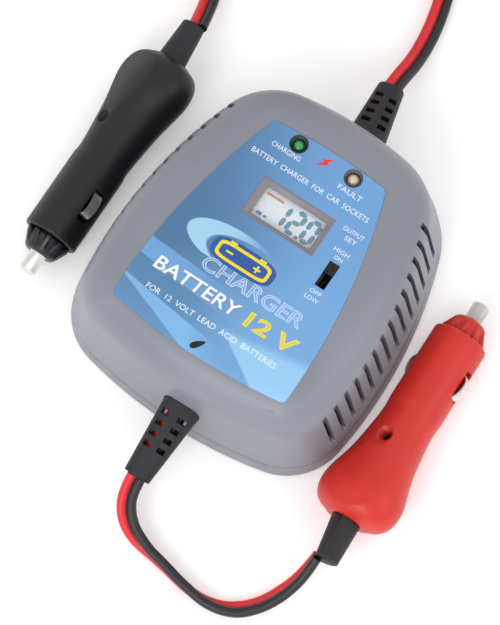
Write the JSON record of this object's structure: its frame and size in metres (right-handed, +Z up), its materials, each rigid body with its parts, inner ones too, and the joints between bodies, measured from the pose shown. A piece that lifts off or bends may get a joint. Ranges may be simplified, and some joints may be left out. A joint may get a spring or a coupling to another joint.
{
  "type": "car battery charger",
  "caption": "Pocket-size plug-to-plug car battery charger: rounded grey case with display, lamps and slide switch, and a twin lead at each end to a fused vehicle plug.",
  "frame": {"origin": "middle of the case's outline, on the surface that the case stands on", "axes": "+Z up out of the face; +Y along the case towards the lamp end; +X towards the slide switch"},
  "size_m": [0.2008, 0.3335, 0.0485],
  "materials": {
    "grey_case": "satin moulded, fine texture",
    "blue_label": "printed film, semi-gloss",
    "screw_steel": "zinc plated",
    "clear_lens": "clear moulded window",
    "lcd_glass": "pale reflective display glass",
    "black_plastic": "satin",
    "black_cap_plastic": "moulded, low gloss",
    "black_rubber": "matt",
    "green_lamp": "tinted epoxy lens",
    "clear_lamp": "clear epoxy lens",
    "board_laminate": "solder mask",
    "sink_aluminium": "plain extruded",
    "chip_plastic": "moulded epoxy",
    "capacitor_sleeve": "shrink sleeve",
    "core_ferrite": "painted powder core",
    "winding_copper": "enamelled copper",
    "terminal_green": "moulded",
    "red_insulation": "soft PVC",
    "black_insulation": "soft PVC",
    "lead_insulation": "twin soft PVC, one core red and one black",
    "black_plug_plastic": "satin moulded",
    "red_plug_plastic": "satin moulded",
    "nickel_plate": "nickel plated brass",
    "fuse_glass": "glass tube with metal end caps",
    "spring_steel": "spring wire",
    "contact_brass": "stamped"
  },
  "bodies": {
    "charger": {"black_plug_boot": "black_rubber", "black_plug_bottom_shell": "black_plug_plastic", "black_plug_rear_terminal": "contact_brass", "black_plug_screw": "screw_steel", "black_plug_spring": "spring_steel", "black_plug_top_shell": "black_plug_plastic", "black_plug_wires": "black_insulation", "board_screws": "screw_steel", "capacitors": "capacitor_sleeve", "case_screws": "screw_steel", "coil_tie": "black_rubber", "control_chip": "chip_plastic", "display_lens": "clear_lens", "front_label": "blue_label", "heat_sink": "sink_aluminium", "inner_black_wires": "black_insulation", "inner_red_wires": "red_insulation", "lcd_contact_strips": "black_rubber", "lcd_holder": "black_plastic", "lcd_panel": "lcd_glass", "led_charging": "green_lamp", "led_fault": "clear_lamp", "led_spacers": "black_plastic", "lower_lead": "lead_insulation", "lower_shell": "grey_case", "lower_strain_relief": "black_rubber", "main_board": "board_laminate", "power_transistors": "chip_plastic", "red_plug_boot": "black_rubber", "red_plug_bottom_shell": "red_plug_plastic", "red_plug_rear_terminal": "contact_brass", "red_plug_screw": "screw_steel", "red_plug_spring": "spring_steel", "red_plug_top_shell": "red_plug_plastic", "red_plug_wires": "red_insulation", "switch_body": "black_plastic", "terminal_blocks": "terminal_green", "toroid_core": "core_ferrite", "toroid_winding": "winding_copper", "upper_lead": "lead_insulation", "upper_lead_coil": "lead_insulation", "upper_lead_return": "lead_insulation", "upper_shell": "grey_case", "upper_strain_relief": "black_rubber"},
    "switch_knob": {"switch_knob": "black_plastic"},
    "black_pin": {"black_plug_tip_pin": "nickel_plate", "black_plug_fuse": "fuse_glass"},
    "black_cap_washer": {"black_plug_cap_washer": "board_laminate"},
    "black_nose_cap": {"black_plug_nose_cap": "black_cap_plastic"},
    "black_left_contact": {"black_plug_left_contact": "nickel_plate"},
    "black_right_contact": {"black_plug_right_contact": "nickel_plate"},
    "red_pin": {"red_plug_tip_pin": "nickel_plate", "red_plug_fuse": "fuse_glass"},
    "red_cap_washer": {"red_plug_cap_washer": "board_laminate"},
    "red_nose_cap": {"red_plug_nose_cap": "red_plug_plastic"},
    "red_left_contact": {"red_plug_left_contact": "nickel_plate"},
    "red_right_contact": {"red_plug_right_contact": "nickel_plate"}
  },
  "joints": [
    {"name": "switch_slide", "type": "slide", "parent": "charger", "child": "switch_knob", "axis": [0, 1, 0], "range_m": [-0.0054, 0]},
    {"name": "black_pin_press", "type": "slide", "parent": "charger", "child": "black_pin", "axis": [-0.0011, 0.9988, 0.0485], "range_m": [0, 0.0025], "stiffness_N_per_m": 600, "springref_m": -0.002, "deforming": ["black_plug_spring"]},
    {"name": "black_cap_advance", "type": "slide", "parent": "charger", "child": "black_cap_washer", "axis": [0.0011, -0.9988, -0.0485], "range_m": [0, 0.0045]},
    {"name": "black_cap_turn", "type": "hinge", "parent": "black_cap_washer", "child": "black_nose_cap", "pos_m": [-0.07232, -0.03122, 0.01143], "axis": [0.0011, -0.9988, -0.0485], "range_deg": [0, 1085]},
    {"name": "black_left_contact_press", "type": "hinge", "parent": "charger", "child": "black_left_contact", "pos_m": [-0.07785, -0.001, 0.00757], "axis": [-0.6946, -0.0356, 0.7185], "range_deg": [0, 6], "stiffness_Nm_per_rad": 0.1, "springref_deg": -2.86},
    {"name": "black_right_contact_press", "type": "hinge", "parent": "charger", "child": "black_right_contact", "pos_m": [-0.06685, -0.00151, 0.01819], "axis": [0.6946, 0.0356, -0.7185], "range_deg": [0, 6], "stiffness_Nm_per_rad": 0.1, "springref_deg": -2.86},
    {"name": "red_pin_press", "type": "slide", "parent": "charger", "child": "red_pin", "axis": [0.0281, -0.999, 0.0346], "range_m": [0, 0.0025], "stiffness_N_per_m": 600, "springref_m": -0.002, "deforming": ["red_plug_spring"]},
    {"name": "red_cap_advance", "type": "slide", "parent": "charger", "child": "red_cap_washer", "axis": [-0.0281, 0.999, -0.0346], "range_m": [0, 0.0045]},
    {"name": "red_cap_turn", "type": "hinge", "parent": "red_cap_washer", "child": "red_nose_cap", "pos_m": [0.07002, 0.01792, 0.01112], "axis": [-0.0281, 0.999, -0.0346], "range_deg": [0, 1085]},
    {"name": "red_left_contact_press", "type": "hinge", "parent": "charger", "child": "red_left_contact", "pos_m": [0.078, -0.01176, 0.0149], "axis": [-0.3591, 0.0222, 0.933], "range_deg": [0, 6], "stiffness_Nm_per_rad": 0.1, "springref_deg": -2.86},
    {"name": "red_right_contact_press", "type": "hinge", "parent": "charger", "child": "red_right_contact", "pos_m": [0.06373, -0.01235, 0.00942], "axis": [0.3591, -0.0222, -0.933], "range_deg": [0, 6], "stiffness_Nm_per_rad": 0.1, "springref_deg": -2.86}
  ],
  "couplings": [
    {"joint": "black_cap_turn", "follows": "black_cap_advance", "rad_per_m": 4188.8},
    {"joint": "red_cap_turn", "follows": "red_cap_advance", "rad_per_m": 4188.8}
  ]
}
